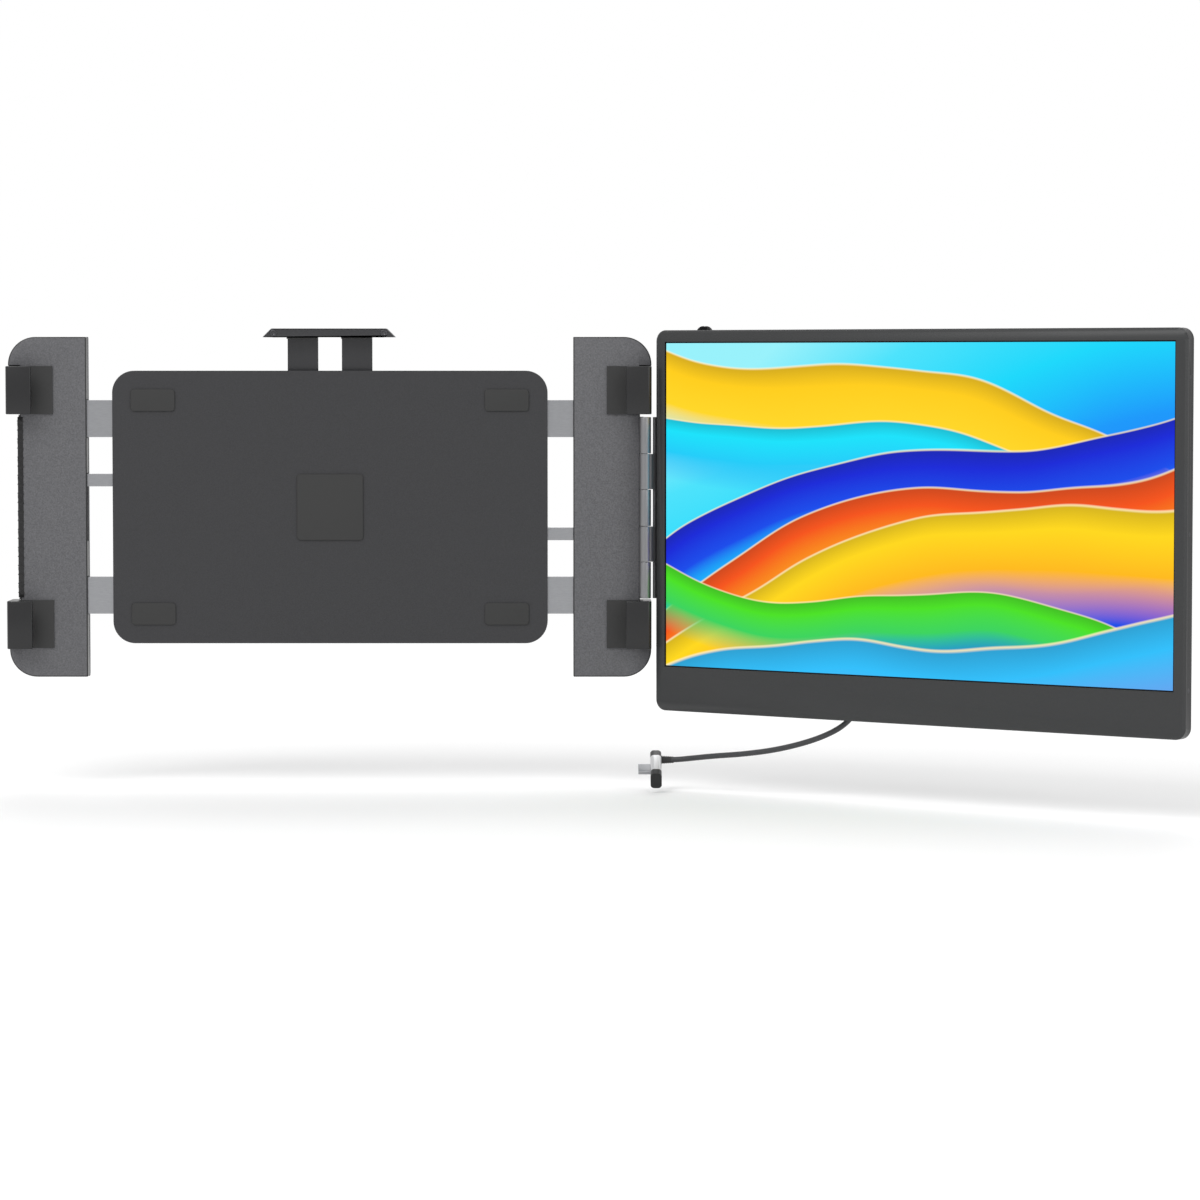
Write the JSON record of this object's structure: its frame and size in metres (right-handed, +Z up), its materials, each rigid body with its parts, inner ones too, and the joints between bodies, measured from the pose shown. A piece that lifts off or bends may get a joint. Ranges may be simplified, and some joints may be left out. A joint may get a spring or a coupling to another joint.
{
  "type": "laptop screen extender",
  "caption": "Bracket with sliding channel clips that holds a flat screen on a side hinge beside a notebook lid, with a top hook, kickstand and USB-C cable.",
  "frame": {"origin": "centre of the central silicone pad on the bracket's front, in the plane of the lid's back", "axes": "+X right as the user sees it, -Y towards the user (the pads face that way), +Z up along the lid"},
  "size_m": [0.616, 0.2105, 0.2474],
  "materials": {
    "black_plastic": "fine grain",
    "silicone": "matt",
    "dark_trim": "matt",
    "satin_alloy": "satin",
    "steel": "satin",
    "screw_steel": "dark",
    "acetal": "satin",
    "light_guide": "gloss",
    "screen_glass": "satin, lit picture",
    "circuit_board": "solder mask",
    "silver_shell": "bead blasted",
    "grey_metal": "fine grain"
  },
  "bodies": {
    "housing": {"front_tray": "black_plastic", "cover_screws": "screw_steel", "kickstand_pin": "steel", "rear_cover": "black_plastic", "silicone_pads": "silicone", "rail_guides": "acetal", "screw_posts": "black_plastic", "pinion_pin": "steel"},
    "kickstand": {"kickstand": "grey_metal", "kickstand_feet": "silicone"},
    "pinion": {"pinion_gear": "acetal"},
    "right_wing": {"right_rack": "steel", "right_wing_screws": "screw_steel", "right_wing_front": "black_plastic", "right_wing_back": "black_plastic", "right_wing_rails": "steel", "right_channel_clips": "black_plastic", "right_clip_grips": "silicone", "hinge_wing_leaf": "satin_alloy", "hinge_wing_screws": "screw_steel", "hinge_pin": "steel"},
    "left_wing": {"left_rack": "steel", "left_wing_screws": "screw_steel", "left_wing_front": "black_plastic", "left_wing_back": "black_plastic", "left_wing_rails": "steel", "left_channel_clips": "black_plastic", "left_clip_grips": "silicone", "left_edge_ribs": "dark_trim"},
    "top_hook": {"top_hook": "black_plastic", "hook_screws": "screw_steel", "hook_pads": "silicone"},
    "screen": {"hinge_screen_leaf": "satin_alloy", "hinge_screen_screws": "screw_steel", "screen_bezel": "black_plastic", "side_screws": "screw_steel", "lcd_panel": "screen_glass", "backlight_plate": "light_guide", "panel_tray": "steel", "main_board": "circuit_board", "board_chips": "dark_trim", "driver_strip": "circuit_board", "speakers": "black_plastic", "video_sockets": "steel", "screen_rear_cover": "black_plastic", "jog_switch": "black_plastic", "port_plug": "black_plastic", "port_plug_relief": "silicone", "elbow_neck": "dark_trim", "elbow_shell": "silver_shell", "elbow_band": "dark_trim", "elbow_tip": "steel", "usb_cable": "silicone"},
    "jog_stem": {"jog_stem": "black_plastic"},
    "jog_wheel": {"jog_wheel": "black_plastic"}
  },
  "joints": [
    {"name": "right_wing_slide", "type": "slide", "parent": "housing", "child": "right_wing", "axis": [1, 0, 0], "range_m": [-0.0135, 0.04]},
    {"name": "left_wing_slide", "type": "slide", "parent": "housing", "child": "left_wing", "axis": [-1, 0, 0], "range_m": [-0.0135, 0.04]},
    {"name": "pinion_spin", "type": "hinge", "parent": "housing", "child": "pinion", "pos_m": [0, 0.0056, 0], "axis": [0, 1, 0], "range_deg": [-240, 90]},
    {"name": "top_hook_slide", "type": "slide", "parent": "housing", "child": "top_hook", "axis": [0, 0, 1], "range_m": [-0.012, 0.02]},
    {"name": "kickstand_hinge", "type": "hinge", "parent": "housing", "child": "kickstand", "pos_m": [0, 0.0118, 0.0508], "axis": [1, 0, 0], "range_deg": [0, 70]},
    {"name": "screen_hinge", "type": "hinge", "parent": "right_wing", "child": "screen", "pos_m": [0.1709, -0.0081, 0], "axis": [0, 0, 1], "range_deg": [-144, 36.1]},
    {"name": "jog_press", "type": "slide", "parent": "screen", "child": "jog_stem", "axis": [0, 0, -1], "range_m": [0, 0.0004], "stiffness_N_per_m": 800, "springref_m": -0.0006},
    {"name": "jog_roll", "type": "hinge", "parent": "jog_stem", "child": "jog_wheel", "pos_m": [0.20274, -0.01993, 0.09325], "axis": [0.5892, 0.808, 0], "range_deg": [-18, 18], "stiffness_Nm_per_rad": 0.01}
  ],
  "couplings": [
    {"joint": "left_wing_slide", "follows": "right_wing_slide", "ratio": 1},
    {"joint": "pinion_spin", "follows": "right_wing_slide", "rad_per_m": -100}
  ]
}
